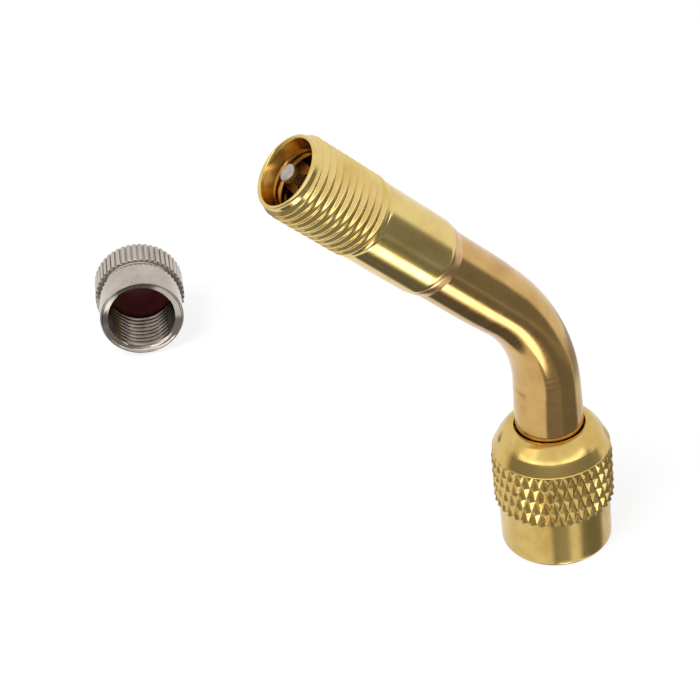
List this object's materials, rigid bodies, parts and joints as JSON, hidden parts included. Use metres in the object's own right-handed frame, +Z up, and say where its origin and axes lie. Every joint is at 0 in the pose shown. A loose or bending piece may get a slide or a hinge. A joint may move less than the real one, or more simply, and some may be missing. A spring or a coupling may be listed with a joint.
{
  "type": "angled tyre valve extension",
  "caption": "Angled brass tyre valve extension: a bent tube joins a knurled swivel nut to a threaded valve barrel with its own sprung core, and a fluted dust cap lies beside it.",
  "frame": {"origin": "on the swivel nut's axis, at the first full turn of its thread, 0.4 mm inside its rim", "axes": "+Z up the nut's axis towards the tube, the tube turns in the XZ plane towards -X"},
  "size_m": [0.0341, 0.0718, 0.0522],
  "materials": {
    "turned_brass": "bright turned brass",
    "drawn_brass": "polished drawn tube, redder from the brazing heat",
    "braze_alloy": "smooth braze fillet",
    "core_brass": "plain turned brass",
    "pin_steel": "drawn steel wire",
    "core_seal": "moulded seal ring",
    "black_rubber": "moulded rubber",
    "nickel_plate": "bright nickel plate",
    "red_rubber": "moulded rubber disc"
  },
  "bodies": {
    "elbow": {"bend_tube": "drawn_brass", "valve_barrel": "turned_brass", "braze_ring": "braze_alloy", "core_plug": "core_brass", "core_barrel": "core_brass", "core_gasket": "core_seal", "core_spring": "pin_steel", "tail_collar": "turned_brass", "nut_gasket": "black_rubber", "depressor_pin": "core_brass", "cap_shell": "nickel_plate", "cap_seal": "red_rubber"},
    "nut": {"swivel_nut": "turned_brass"},
    "pin": {"core_pin": "pin_steel", "core_cup": "core_brass", "core_cup_seal": "black_rubber"}
  },
  "joints": [
    {"name": "nut_spin", "type": "hinge", "parent": "elbow", "child": "nut", "pos_m": [0, 0, 0], "axis": [0, 0, 1], "continuous": true},
    {"name": "core_pin_press", "type": "slide", "parent": "elbow", "child": "pin", "axis": [0.682, 0, -0.7314], "range_m": [0, 0.0012], "stiffness_N_per_m": 500, "springref_m": -0.002, "deforming": ["core_spring"]}
  ]
}
